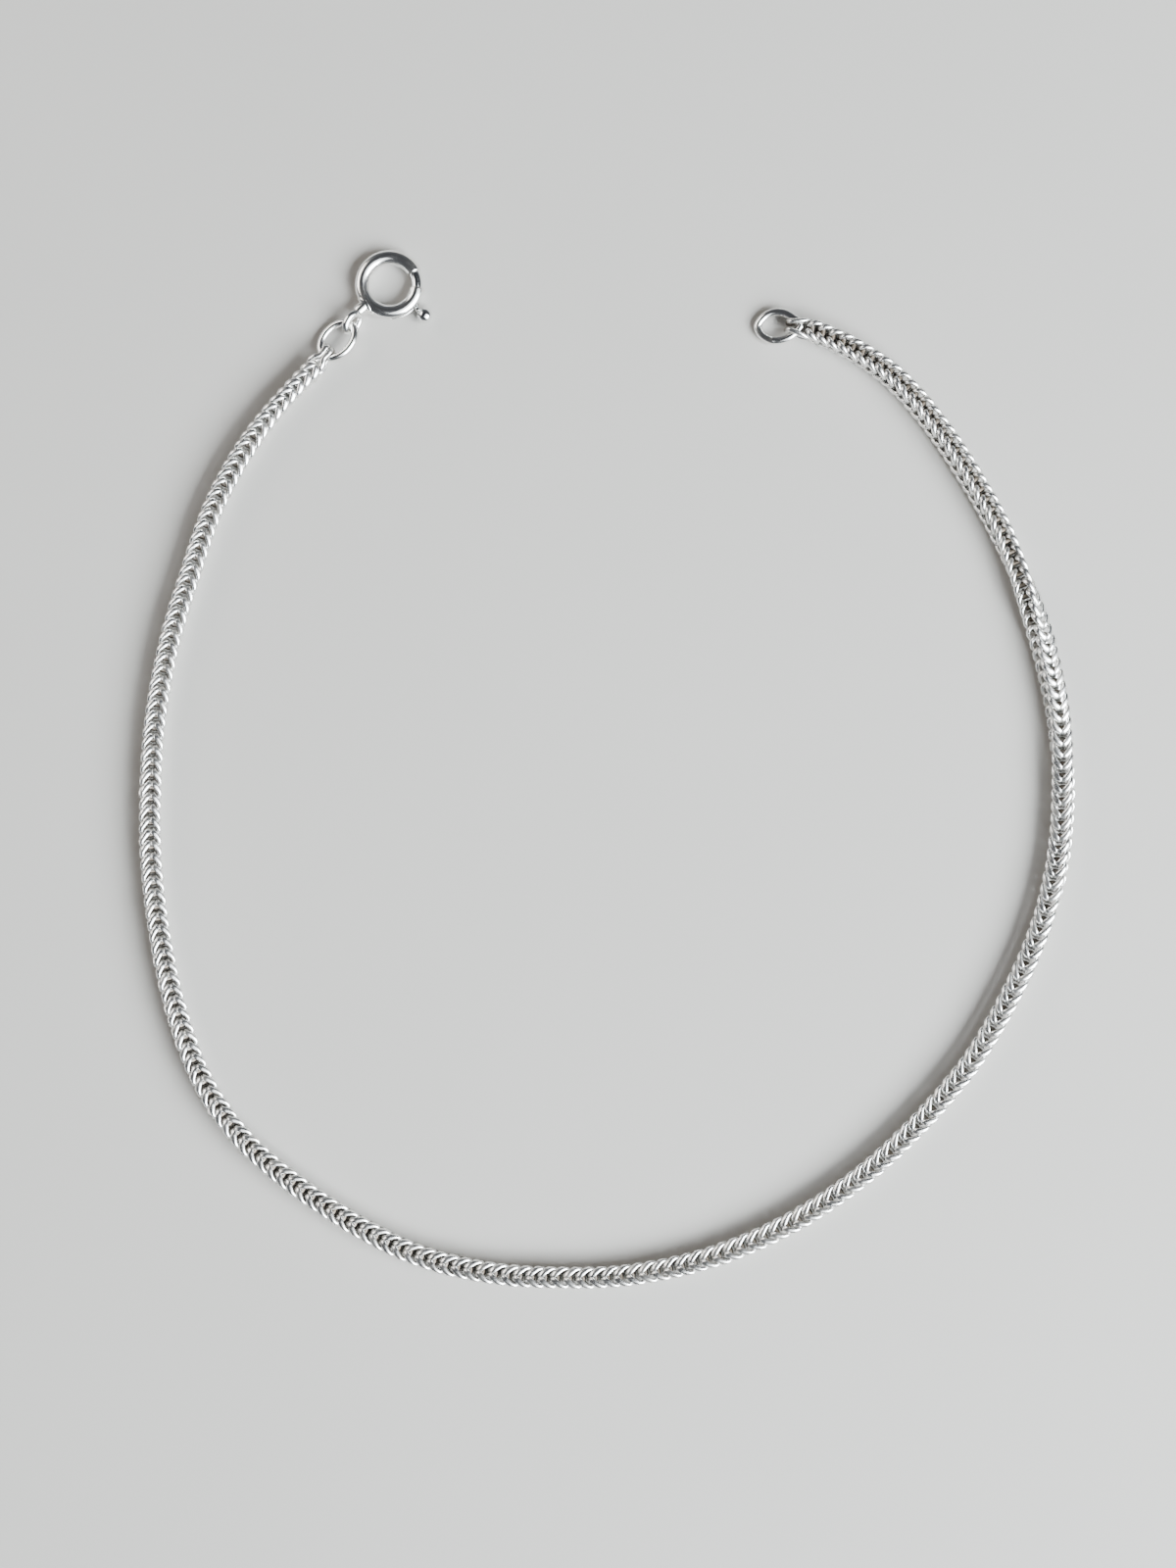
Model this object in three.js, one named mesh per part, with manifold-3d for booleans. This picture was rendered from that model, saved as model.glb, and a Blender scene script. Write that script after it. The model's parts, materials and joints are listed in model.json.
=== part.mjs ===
// Foxtail chain bracelet with a spring ring clasp, lying open on the plane z = 0.
// Millimetres, +Z up, centred on the origin. Angles are in degrees, anticlockwise seen from above.

import * as THREE from 'three';
import { mergeVertices } from 'three/addons/utils/BufferGeometryUtils.js';
import Module from 'manifold-3d';

const wasm = await Module();
wasm.setup();

// Chain: the outer form of the stack of folded links
const CHAIN_HEIGHT = 1.94;
const CHAIN_SIDES = 8;
const CHAIN_STEPS = 76;
const CHAIN_MIDDLE = CHAIN_HEIGHT / 2;
const END_GAP = 0.15;
const ROUTE_DIVISIONS = 2000;

// Chain route from the first link's fold to the end ring, chosen by hand
const ROUTE = [
  [-23.8, 36.1], [-25.4, 34.3], [-28.0, 31.6], [-31.0, 27.7], [-33.8, 22.6], [-35.9, 16.6],
  [-37.7, 10.6], [-38.9, 3.8], [-39.3, -3.0], [-39.2, -8.1], [-38.4, -14.7], [-36.9, -21.3],
  [-34.6, -27.2], [-31.3, -31.9], [-26.8, -35.8], [-21.0, -39.6], [-15.9, -42.0], [-10.0, -43.4],
  [-4.5, -43.8], [1.8, -43.6], [8.5, -42.2], [15.1, -39.5], [21.8, -35.2], [27.4, -30.0],
  [31.7, -24.8], [35.1, -18.9], [37.3, -13.8], [38.8, -8.1], [39.3, -2.2], [39.0, 3.8],
  [38.0, 9.0], [36.5, 14.1], [34.2, 19.9], [31.4, 25.0], [28.1, 29.9], [24.7, 33.7],
  [21.3, 36.1], [18.1, 37.6], [16.7, 38.15],
];

// Folded link: a closed wire loop doubled into a U, a quarter of its wire from fold to ear end
const LINK_WIRE = 0.40;
const LINK_WIRE_SIDES = 6;
const LINK_STEPS = 48;
const LINK_PITCH = 1.04;
const LINK_QUARTER = [
  { along: 0.00, side: 0.00, rise: 0.21 },
  { along: -0.02, side: 0.40, rise: 0.205 },
  { along: 0.21, side: 0.705, rise: 0.24 },
  { along: 0.55, side: 0.715, rise: 0.435 },
  { along: 1.02, side: 0.56, rise: 0.62 },
  { along: 1.345, side: 0.355, rise: 0.46 },
  { along: 1.455, side: 0.34, rise: 0.00 },
];
const SHANK_STATION = 3;
const EAR_STATION = 5;
const FIRST_LINK_STRETCH = 0.80;
const FIRST_LINK_ROLL = 90;
const LAST_LINK_EAR_REACH = 0.66;
const LAST_LINK_ROLL = 0;
const LAST_LINK_SWING = 13;

// Oval jump ring between the chain and the clasp
const RING_LENGTH = 4.20;
const RING_WIDTH = 3.15;
const CLASP_RING_WIRE = 0.64;
const CLASP_RING_CENTRE = [-23.17, 36.93, 0.90];
const CLASP_RING_HEADING = 48.7;
const CLASP_RING_TILT = -20;
const RING_STEPS = 40;
const RING_SIDES = 8;

// End ring: a flat pear shape that slopes up from the ground to its tip in the chain's last ears
const END_RING_WIRE = 0.70;
const END_RING_OUTLINE = [
  [13.08, 38.19], [13.84, 39.16], [14.85, 39.38], [15.36, 39.28], [16.10, 38.82], [16.52, 38.50],
  [16.68, 38.15], [16.52, 37.82], [16.10, 37.44], [15.53, 37.09], [14.85, 36.95], [14.26, 37.13],
  [13.46, 37.60],
];
const END_RING_LOW_X = 13.08;
const END_RING_TIP_X = 16.68;
const END_RING_TIP_RISE = 0.68;

// Spring ring clasp
const CLASP_CENTRE = [-18.71, 41.73];
const CLASP_DIAMETER = 6.00;
const CLASP_TUBE = 1.25;
const CLASP_BORE = 1.01;
const CLASP_SIDES = 14;
const CLASP_RADIUS = (CLASP_DIAMETER - CLASP_TUBE) / 2;
const CLASP_STEP = 8;
const GAP_FROM = -6;
const GAP_TO = 26;
const SLOT_FROM = -88;
const SLOT_TO = -34;
const SLOT_WIDTH = 0.56;
const SLOT_SEGMENTS = 12;
const CLASP_LIFT = 1.9;

// Eyelet soldered to the clasp: a wire loop on a short collar, leaning to one side
const COLLAR_ANGLE = -139;
const COLLAR_DIAMETER = 0.95;
const COLLAR_FROM = 2.90;
const COLLAR_TO = 3.75;
const EYELET_HEADING = -124;
const EYELET_WIRE = 0.50;
const EYELET_LENGTH = 2.25;
const EYELET_WIDTH = 1.85;
const EYELET_ROOT = 3.10;
const EYELET_REACH = 1.50;
const EYELET_LEAN = 32;

// Sliding bolt inside the clasp's tube, with its trigger
const BOLT_DIAMETER = 0.88;
const BOLT_TAIL = -53;
const BOLT_TIP = 33;
const TRIGGER_ANGLE = -41;
const TRIGGER_NECK = 0.42;
const TRIGGER_KNOB = 1.20;
const TRIGGER_REACH = 3.98;
const KNOB_SIDES = 14;
const KNOB_RINGS = 10;

const rad = THREE.MathUtils.degToRad;
const SILVER = { color: 0xd9dadb, metalness: 1.0, roughness: 0.28 };

// A circle of straight sides with one flat side square to the shape's x axis
function roundShape(radius, sides) {
  const points = [];
  for (let i = 0; i < sides; i += 1) {
    const angle = (2 * Math.PI * (i + 0.5)) / sides;
    points.push(new THREE.Vector2(radius * Math.cos(angle), radius * Math.sin(angle)));
  }
  return new THREE.Shape(points);
}

class ClaspArc extends THREE.Curve {
  constructor(fromAngle, toAngle) {
    super();
    this.fromAngle = rad(fromAngle);
    this.toAngle = rad(toAngle);
  }

  getPoint(t, target = new THREE.Vector3()) {
    const angle = this.fromAngle + (this.toAngle - this.fromAngle) * t;
    return target.set(CLASP_RADIUS * Math.cos(angle), CLASP_RADIUS * Math.sin(angle), 0);
  }
}

class OvalLoop extends THREE.Curve {
  constructor(halfLength, halfWidth) {
    super();
    this.halfLength = halfLength;
    this.halfWidth = halfWidth;
  }

  getPoint(t, target = new THREE.Vector3()) {
    const angle = 2 * Math.PI * t;
    return target.set(this.halfLength * Math.cos(angle), this.halfWidth * Math.sin(angle), 0);
  }
}

// Wire bent along a closed curve
function closedWire(curve, steps, diameter, sides) {
  return new THREE.TubeGeometry(curve, steps, diameter / 2, sides, true);
}

// Rod bent along an open curve, with flat ends
function rod(curve, steps, diameter, sides) {
  const settings = { steps, bevelEnabled: false, extrudePath: curve };
  return new THREE.ExtrudeGeometry(roundShape(diameter / 2, sides), settings);
}

function toSolid(geometry) {
  const bare = geometry.clone();
  bare.deleteAttribute('normal');
  bare.deleteAttribute('uv');
  const merged = mergeVertices(bare);
  const vertProperties = new Float32Array(merged.attributes.position.array);
  const triVerts = new Uint32Array(merged.index.array);
  return new wasm.Manifold(new wasm.Mesh({ numProp: 3, vertProperties, triVerts }));
}

function toGeometry(solid) {
  const mesh = solid.getMesh();
  const geometry = new THREE.BufferGeometry();
  geometry.setAttribute('position', new THREE.BufferAttribute(mesh.vertProperties, 3));
  geometry.setIndex(new THREE.BufferAttribute(mesh.triVerts, 1));
  geometry.computeVertexNormals();
  return geometry;
}

function piece(name, geometry) {
  const mesh = new THREE.Mesh(geometry, new THREE.MeshStandardMaterial(SILVER));
  mesh.name = name;
  return mesh;
}

// Point and heading of the chain's middle line at a distance from the first link's fold
const route = new THREE.CatmullRomCurve3(
  ROUTE.map(([x, y]) => new THREE.Vector3(x, y, CHAIN_MIDDLE)),
  false,
  'centripetal',
);
route.arcLengthDivisions = ROUTE_DIVISIONS;
const routeLength = route.getLength();

function placeOnRoute(mesh, distance, roll, swing) {
  const share = distance / routeLength;
  const tangent = route.getTangentAt(share);
  mesh.position.copy(route.getPointAt(share));
  mesh.rotation.set(rad(roll), 0, Math.atan2(tangent.y, tangent.x) + rad(swing), 'ZYX');
  return mesh;
}

class RouteStretch extends THREE.Curve {
  constructor(fromDistance, toDistance) {
    super();
    this.fromShare = fromDistance / routeLength;
    this.toShare = toDistance / routeLength;
  }

  getPoint(t, target = new THREE.Vector3()) {
    return route.getPointAt(this.fromShare + (this.toShare - this.fromShare) * t, target);
  }
}

function foxtailChain() {
  const firstLinkEnd = LINK_QUARTER.at(-1).along + FIRST_LINK_STRETCH + LINK_WIRE / 2;
  const lastLinkStart = routeLength - LINK_PITCH - LINK_WIRE / 2;
  const stretch = new RouteStretch(firstLinkEnd + END_GAP, lastLinkStart - END_GAP);
  const acrossCorners = CHAIN_HEIGHT / Math.cos(Math.PI / CHAIN_SIDES);
  return piece('foxtail_chain', rod(stretch, CHAIN_STEPS, acrossCorners, CHAIN_SIDES));
}

// A link's wire loop: along the chain is x, ear to ear is y. The shanks and the ears can be lengthened.
function linkLoop(shankStretch, earReach) {
  const quarter = LINK_QUARTER.map(({ along, side, rise }, station) => {
    const stretched = along + (station >= SHANK_STATION ? shankStretch : 0);
    return { along: stretched + (station >= EAR_STATION ? earReach : 0), side, rise };
  });
  const outward = quarter.slice(0, -1);
  const inward = quarter.slice(1).reverse();
  const legs = [[outward, 1, 1], [inward, 1, -1], [outward, -1, -1], [inward, -1, 1]];
  const points = [];
  for (const [stations, sideSign, riseSign] of legs) {
    for (const { along, side, rise } of stations) {
      points.push(new THREE.Vector3(along, sideSign * side, riseSign * rise));
    }
  }
  return new THREE.CatmullRomCurve3(points, true, 'centripetal');
}

function firstLink() {
  const loop = linkLoop(FIRST_LINK_STRETCH, 0);
  const mesh = piece('first_link', closedWire(loop, LINK_STEPS, LINK_WIRE, LINK_WIRE_SIDES));
  return placeOnRoute(mesh, 0, FIRST_LINK_ROLL, 0);
}

function lastLink() {
  const loop = linkLoop(0, LAST_LINK_EAR_REACH);
  const mesh = piece('last_link', closedWire(loop, LINK_STEPS, LINK_WIRE, LINK_WIRE_SIDES));
  return placeOnRoute(mesh, routeLength - LINK_PITCH, LAST_LINK_ROLL, LAST_LINK_SWING);
}

function claspJumpRing() {
  const halfLength = (RING_LENGTH - CLASP_RING_WIRE) / 2;
  const halfWidth = (RING_WIDTH - CLASP_RING_WIRE) / 2;
  const oval = new OvalLoop(halfLength, halfWidth);
  const mesh = piece('clasp_jump_ring', closedWire(oval, RING_STEPS, CLASP_RING_WIRE, RING_SIDES));
  mesh.position.set(...CLASP_RING_CENTRE);
  mesh.rotation.set(rad(CLASP_RING_TILT), 0, rad(CLASP_RING_HEADING), 'ZYX');
  return mesh;
}

function endJumpRing() {
  const points = END_RING_OUTLINE.map(([x, y]) => {
    const share = (x - END_RING_LOW_X) / (END_RING_TIP_X - END_RING_LOW_X);
    return new THREE.Vector3(x, y, END_RING_WIRE / 2 + END_RING_TIP_RISE * share);
  });
  const outline = new THREE.CatmullRomCurve3(points, true, 'centripetal');
  return piece('end_jump_ring', closedWire(outline, RING_STEPS, END_RING_WIRE, RING_SIDES));
}

// Curved rod around the clasp's centre
function claspRod(fromAngle, toAngle, diameter) {
  const steps = Math.round((toAngle - fromAngle) / CLASP_STEP);
  return rod(new ClaspArc(fromAngle, toAngle), steps, diameter, CLASP_SIDES);
}

// Flat sector that clears the trigger's neck through the outer wall
function slotCutter() {
  const outer = CLASP_DIAMETER / 2 + CLASP_TUBE / 2;
  const sector = new THREE.Shape();
  sector.absarc(0, 0, outer, rad(SLOT_FROM), rad(SLOT_TO), false);
  sector.absarc(0, 0, CLASP_RADIUS, rad(SLOT_TO), rad(SLOT_FROM), true);
  const settings = { depth: SLOT_WIDTH, bevelEnabled: false, curveSegments: SLOT_SEGMENTS };
  return new THREE.ExtrudeGeometry(sector, settings).translate(0, 0, -SLOT_WIDTH / 2);
}

// Straight pin that points out from the clasp's centre at an angle
function radialPin(angle, fromRadius, toRadius, diameter) {
  const geometry = new THREE.CylinderGeometry(diameter / 2, diameter / 2, toRadius - fromRadius, CLASP_SIDES);
  geometry.rotateZ(-Math.PI / 2);
  geometry.translate((fromRadius + toRadius) / 2, 0, 0);
  return geometry.rotateZ(rad(angle));
}

function eyelet() {
  const halfLength = (EYELET_LENGTH - EYELET_WIRE) / 2;
  const halfWidth = (EYELET_WIDTH - EYELET_WIRE) / 2;
  const geometry = closedWire(new OvalLoop(halfLength, halfWidth), RING_STEPS, EYELET_WIRE, RING_SIDES);
  geometry.translate(EYELET_REACH, 0, 0);
  geometry.rotateX(Math.PI / 2 + rad(EYELET_LEAN));
  geometry.rotateZ(rad(EYELET_HEADING));
  const root = rad(COLLAR_ANGLE);
  return geometry.translate(EYELET_ROOT * Math.cos(root), EYELET_ROOT * Math.sin(root), 0);
}

function springRing() {
  const fullTurn = 360;
  const overrun = CLASP_STEP / 2;
  const collar = radialPin(COLLAR_ANGLE, COLLAR_FROM, COLLAR_TO, COLLAR_DIAMETER);
  const bore = claspRod(GAP_TO - overrun, fullTurn + GAP_FROM + overrun, CLASP_BORE);
  const tube = toSolid(claspRod(GAP_TO, fullTurn + GAP_FROM, CLASP_TUBE));
  const soldered = tube.add(toSolid(collar)).add(toSolid(eyelet()));
  return piece('spring_ring', toGeometry(soldered.subtract(toSolid(bore)).subtract(toSolid(slotCutter()))));
}

function springBolt() {
  const knob = new THREE.SphereGeometry(TRIGGER_KNOB / 2, KNOB_SIDES, KNOB_RINGS);
  const trigger = rad(TRIGGER_ANGLE);
  knob.translate(TRIGGER_REACH * Math.cos(trigger), TRIGGER_REACH * Math.sin(trigger), 0);
  const neck = radialPin(TRIGGER_ANGLE, CLASP_RADIUS, TRIGGER_REACH, TRIGGER_NECK);
  const bolt = toSolid(claspRod(BOLT_TAIL, BOLT_TIP, BOLT_DIAMETER));
  return piece('spring_bolt', toGeometry(bolt.add(toSolid(neck)).add(toSolid(knob))));
}

// The clasp leans up a little towards its eyelet and rests on its far side
function clasp() {
  const group = new THREE.Group();
  const lift = rad(CLASP_LIFT);
  const uphill = rad(COLLAR_ANGLE);
  const hinge = new THREE.Vector3(Math.sin(uphill), -Math.cos(uphill), 0);
  const height = CLASP_TUBE / 2 + CLASP_RADIUS * Math.sin(lift);
  group.add(springRing(), springBolt());
  group.position.set(...CLASP_CENTRE, height);
  group.setRotationFromAxisAngle(hinge, lift);
  return group;
}

const bracelet = new THREE.Group();
bracelet.add(foxtailChain(), firstLink(), lastLink(), claspJumpRing(), endJumpRing(), clasp());

export default bracelet;
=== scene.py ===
"""Foxtail chain bracelet with a spring ring clasp, dressed for rendering.

The chain is laid link by link along its route. The rings, the clasp and its bolt are made again as
smooth metal, in the places of their plain solids. Metres, +Z up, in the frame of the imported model.
"""

import json
import math
from collections import namedtuple

import bpy
import numpy as np
from mathutils import Matrix, Vector


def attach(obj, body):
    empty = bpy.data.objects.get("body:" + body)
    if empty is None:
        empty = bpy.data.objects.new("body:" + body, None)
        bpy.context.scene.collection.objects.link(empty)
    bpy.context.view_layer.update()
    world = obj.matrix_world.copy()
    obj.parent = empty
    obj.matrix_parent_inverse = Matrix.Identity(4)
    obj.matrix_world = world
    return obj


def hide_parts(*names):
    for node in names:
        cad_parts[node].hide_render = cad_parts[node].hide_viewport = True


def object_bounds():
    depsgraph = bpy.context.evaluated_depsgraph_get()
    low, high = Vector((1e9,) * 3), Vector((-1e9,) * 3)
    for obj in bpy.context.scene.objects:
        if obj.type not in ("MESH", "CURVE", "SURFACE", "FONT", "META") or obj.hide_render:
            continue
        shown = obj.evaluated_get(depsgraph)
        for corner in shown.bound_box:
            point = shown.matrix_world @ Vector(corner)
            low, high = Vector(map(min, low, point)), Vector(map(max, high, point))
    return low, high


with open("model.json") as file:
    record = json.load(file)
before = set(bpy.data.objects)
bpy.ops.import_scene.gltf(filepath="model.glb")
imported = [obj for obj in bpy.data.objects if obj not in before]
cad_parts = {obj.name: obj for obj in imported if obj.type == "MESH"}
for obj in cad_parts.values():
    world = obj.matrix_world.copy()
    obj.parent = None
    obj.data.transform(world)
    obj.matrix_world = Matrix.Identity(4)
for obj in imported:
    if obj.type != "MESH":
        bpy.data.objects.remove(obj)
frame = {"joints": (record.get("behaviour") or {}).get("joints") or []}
cad_low, cad_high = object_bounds()

bl_info = {
    "name": "Foxtail chain bracelet",
    "version": (1, 0, 0),
    "blender": (4, 5, 0),
    "location": "3D View > Sidebar > Bracelet",
    "description": "Makes the links, rings and clasp of a silver foxtail chain bracelet",
    "category": "Object",
}

BRACELET_BODY = "bracelet"
BOLT_BODY = "bolt"
FULL_TURN = 2 * math.pi

# Chain route from the first link's fold to the end ring
ROUTE = [
    (-0.0238, 0.0361), (-0.0254, 0.0343), (-0.0280, 0.0316), (-0.0310, 0.0277), (-0.0338, 0.0226),
    (-0.0359, 0.0166), (-0.0377, 0.0106), (-0.0389, 0.0038), (-0.0393, -0.0030), (-0.0392, -0.0081),
    (-0.0384, -0.0147), (-0.0369, -0.0213), (-0.0346, -0.0272), (-0.0313, -0.0319), (-0.0268, -0.0358),
    (-0.0210, -0.0396), (-0.0159, -0.0420), (-0.0100, -0.0434), (-0.0045, -0.0438), (0.0018, -0.0436),
    (0.0085, -0.0422), (0.0151, -0.0395), (0.0218, -0.0352), (0.0274, -0.0300), (0.0317, -0.0248),
    (0.0351, -0.0189), (0.0373, -0.0138), (0.0388, -0.0081), (0.0393, -0.0022), (0.0390, 0.0038),
    (0.0380, 0.0090), (0.0365, 0.0141), (0.0342, 0.0199), (0.0314, 0.0250), (0.0281, 0.0299),
    (0.0247, 0.0337), (0.0213, 0.0361), (0.0181, 0.0376), (0.0167, 0.03815),
]

# How the chain is twisted along its route, in degrees: 90 has the folds up, 180 the ears
Lay = namedtuple("Lay", "at roll")
CHAIN_LAY = [
    Lay(0.0000, 86), Lay(0.0060, 80), Lay(0.0135, 80), Lay(0.0354, 80), Lay(0.0439, 77), Lay(0.0608, 74),
    Lay(0.0692, 74), Lay(0.0776, 76), Lay(0.0895, 79), Lay(0.1063, 79), Lay(0.1232, 80), Lay(0.1435, 79),
    Lay(0.1603, 75), Lay(0.1688, 67), Lay(0.1722, 70), Lay(0.1738, 78), Lay(0.1772, 96), Lay(0.1789, 102),
    Lay(0.1840, 110), Lay(0.1859, 126), Lay(0.1875, 141), Lay(0.1896, 163), Lay(0.1916, 178),
    Lay(0.1932, 188), Lay(0.1955, 193), Lay(0.2030, 196), Lay(0.2100, 195), Lay(0.2150, 184),
    Lay(0.2170, 180),
]

# Folded link: a quarter of its wire, from the middle of the fold to the end of an ear.
# The close links lie next to the clasp and at both ends, the open ones everywhere else.
Station = namedtuple("Station", "along side rise")
OPEN_LINK = [
    Station(0.0, 0.0, 0.00020),
    Station(-0.00002, 0.00040, 0.00020),
    Station(0.00011, 0.00071, 0.00021),
    Station(0.00040, 0.00076, 0.00044),
    Station(0.00080, 0.00064, 0.00072),
    Station(0.00118, 0.00048, 0.00077),
    Station(0.00138, 0.00027, 0.00047),
    Station(0.00147, 0.00022, 0.0),
]
CLOSE_LINK = [
    Station(0.0, 0.0, 0.00021),
    Station(-0.00002, 0.00040, 0.000205),
    Station(0.00021, 0.000705, 0.00024),
    Station(0.00055, 0.000715, 0.000435),
    Station(0.00102, 0.00056, 0.00062),
    Station(0.001345, 0.000355, 0.00046),
    Station(0.001455, 0.00034, 0.0),
]
SHANK_STATION = 3
EAR_STATION = 5
MODEL_PITCH = 0.00104
LINK_STEPS = 44
LINK_SIDES = 10
END_LINK_STEPS = 96
END_LINK_SIDES = 16
CLOSE_UNTIL = 0.0045
OPEN_FROM = 0.0110
SETTLE_REACH = 0.006
PRESSED_POWER = 0.8
# Painted shade on the links: none from this share of the way out to the worn outline, full at the depth below
# further in
BRIGHT_FROM = 0.84
PAINTED_SHADE_DEPTH = 0.48
LINK_LEAN = 1.6
TWIST_REACH = 0.0012
TWIST_SHIFTS = (-1.0, -0.5, 0.0, 0.5, 1.0)
ROUTE_STEPS = 4000
ROLL_LIMIT = 200
ROLL_STEP = 4
FIRST_LINK_STRETCH = 0.00080
FIRST_LINK_ROLL = 90
LAST_LINK_EAR_REACH = 0.00066
LAST_LINK_ROLL = 0
LAST_LINK_SWING = 13

# End ring: a flat pear shape that slopes up to its tip
END_RING_OUTLINE = [
    (0.01306, 0.03825), (0.01350, 0.03893), (0.01400, 0.03926), (0.01465, 0.03940), (0.01536, 0.03928),
    (0.01610, 0.03882), (0.01652, 0.03850), (0.01668, 0.03815), (0.01652, 0.03782), (0.01610, 0.03744),
    (0.01553, 0.03709), (0.01485, 0.03692), (0.01425, 0.03697), (0.01371, 0.03723), (0.01326, 0.03767),
]
END_RING_SEAM = (0.01432, 0.03696)
SEAM_REACH = 0.00016
SEAM_SWELL = 0.09
END_RING_LOW_X = 0.01308
END_RING_TIP_X = 0.01668
END_RING_TIP_RISE = 0.00068
CLASP_RING_CENTRE = Vector((-0.02317, 0.03693, 0.00090))
CLASP_RING_HEADING = 48.7
CLASP_RING_TILT = -20
RING_STEPS = 128
RING_SIDES = 24

# Clasp, in degrees round its own axis
CLASP_JOINT = frame["joints"][0]
CLASP_LIFT = 1.9
COLLAR_ANGLE = -139
GAP_FROM = -6
GAP_TO = 26
SLOT_FROM = -88
SLOT_TO = -34
SADDLE_HALF = 19
SADDLE_SPAN = 78
SADDLE_WALL = 0.00011
EYELET_HEADING = -124
EYELET_LEAN = 32
EYELET_SPLIT = 215
BOLT_TAIL = -53
BOLT_TIP = 33
TRIGGER_ANGLE = -41
COLLAR_START = 0.00245
COLLAR_LENGTH = 0.00130
COLLAR_RISE = 0.00010
EYELET_ROOT = 0.00310
EYELET_REACH = 0.00150
TURNED_SIDES = 32
TUBE_SIDES = 33
TUBE_STEPS = 165
SLOT_STEPS = 6
LIP_DEPTH = 0.10
LIP_REACH = 0.00008
SADDLE_ROWS = 25
SADDLE_COLUMNS = 13
SADDLE_END = 0.98
KNOB_STEPS = 18
NECK_END = 1.12
NECK_FILLET = 1.15

# Silver: sizes of the patches in metres, and how much each fault adds to the roughness
CHAIN_PATCH = 0.0012
RING_PATCH = 0.0016
CLASP_PATCH = 0.0020
GRAIN_SCALE = 9000.0
SCRATCH_TURNS = (25, 110)
SCRATCH_STRETCH = (900.0, 24000.0, 9000.0)
SCRATCH_BAND = (0.68, 0.80)
DULL_BAND = (0.45, 0.72)
# Painted shade: the band of the mottled hollow share over which the metal goes dark
PAINTED_SHADE_BAND = (0.05, 1.0)
WARM_TINT = (0.94, 0.90, 0.83)
DULL_ROUGHNESS = 0.12
SCRATCH_ROUGHNESS = 0.10
GRAIN_ROUGHNESS = 0.06
HOLLOW_ROUGHNESS = 0.25
TONE_ROUGHNESS = 0.05
GRAIN_HEIGHT = 0.35
SCRATCH_HEIGHT = 0.2
PATCH_HEIGHT = 0.4
BUMP_STRENGTH = 0.10
BUMP_DISTANCE = 0.00002

# Stage
FLOOR_HALF = 0.55
KEY_PLACE = (0.38, -0.22, 0.34)
KEY_SIZE = (0.46, 0.36)
KEY_COLOUR = (0.90, 0.96, 1.0)
PANEL_PLACE = (0.34, -0.20, 0.46)
PANEL_SIZE = (0.72, 0.72)
PANEL_COLOUR = (0.92, 0.97, 1.0)
FILL_PLACE = (-0.34, 0.20, 0.22)
FILL_SIZE = (0.30, 0.20)
FILL_COLOUR = (1.0, 0.95, 0.90)
SKY_LOW = (0.80, 0.84, 0.90, 1.0)
SKY_MIDDLE = (0.55, 0.58, 0.63, 1.0)
SKY_HIGH = (0.22, 0.23, 0.26, 1.0)
FIELD_HEIGHT = 0.13502
SENSOR_WIDTH = 36.0
CAMERA_X = -0.00160
CAMERA_Y = -0.00131
CLIP_START = 0.005

# Collar: its width as a share of its diameter, by its share of the way out
Turning = namedtuple("Turning", "width reach")
COLLAR_PROFILE = [
    Turning(0.0, 0.0),
    Turning(0.80, 0.0),
    Turning(0.95, 0.05),
    Turning(1.0, 0.14),
    Turning(1.0, 0.78),
    Turning(0.95, 0.90),
    Turning(0.80, 1.0),
    Turning(0.0, 1.0),
]


def length_property(name, description, default):
    return bpy.props.FloatProperty(
        name=name, description=description, default=default, min=0.0, precision=6, unit="LENGTH"
    )


def share_property(name, description, default):
    return bpy.props.FloatProperty(
        name=name, description=description, default=default, min=0.0, max=1.0, subtype="FACTOR"
    )


def colour_property(name, description, default):
    return bpy.props.FloatVectorProperty(
        name=name, description=description, default=default, size=3, min=0.0, max=1.0, subtype="COLOR"
    )


class BRACELET_PG_chain(bpy.types.PropertyGroup):
    """Sizes of the folded links."""

    wire: length_property("Link wire", "Thickness of the links' wire", 0.00040)
    spread: length_property("Pressed wire", "Width of the wire where the links are pressed flat", 0.00050)
    close_spread: length_property("Wire by the clasp", "Width of the wire in the packed links", 0.00060)
    end_spread: length_property("End links' wire", "Width of the wire in the first and last links", 0.00044)
    end_pitch: length_property("Pitch at the ends", "Distance between links near both ends", 0.00095)
    slack: length_property("Slack", "How much further apart the links lie half way", 0.00013)
    flat_side: length_property("Flat sides", "Half the width of the chain over its worn ears", 0.00088)
    flat_rise: length_property("Flat faces", "Half the height of the chain over its worn shanks", 0.00092)
    shake: length_property("Shake", "How far links lie out of place along the chain", 0.000018)
    seed: bpy.props.IntProperty(name="Seed", description="Seed of the links' small faults", default=7)


class BRACELET_PG_rings(bpy.types.PropertyGroup):
    """Sizes of the two jump rings."""

    clasp_wire: length_property("Clasp ring wire", "Wire of the ring at the clasp", 0.00068)
    clasp_length: length_property("Clasp ring length", "Longer way across that ring", 0.00424)
    clasp_width: length_property("Clasp ring width", "Shorter way across that ring", 0.00335)
    end_wire: length_property("End ring wire", "Wire of the ring at the far end", 0.00070)


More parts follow.
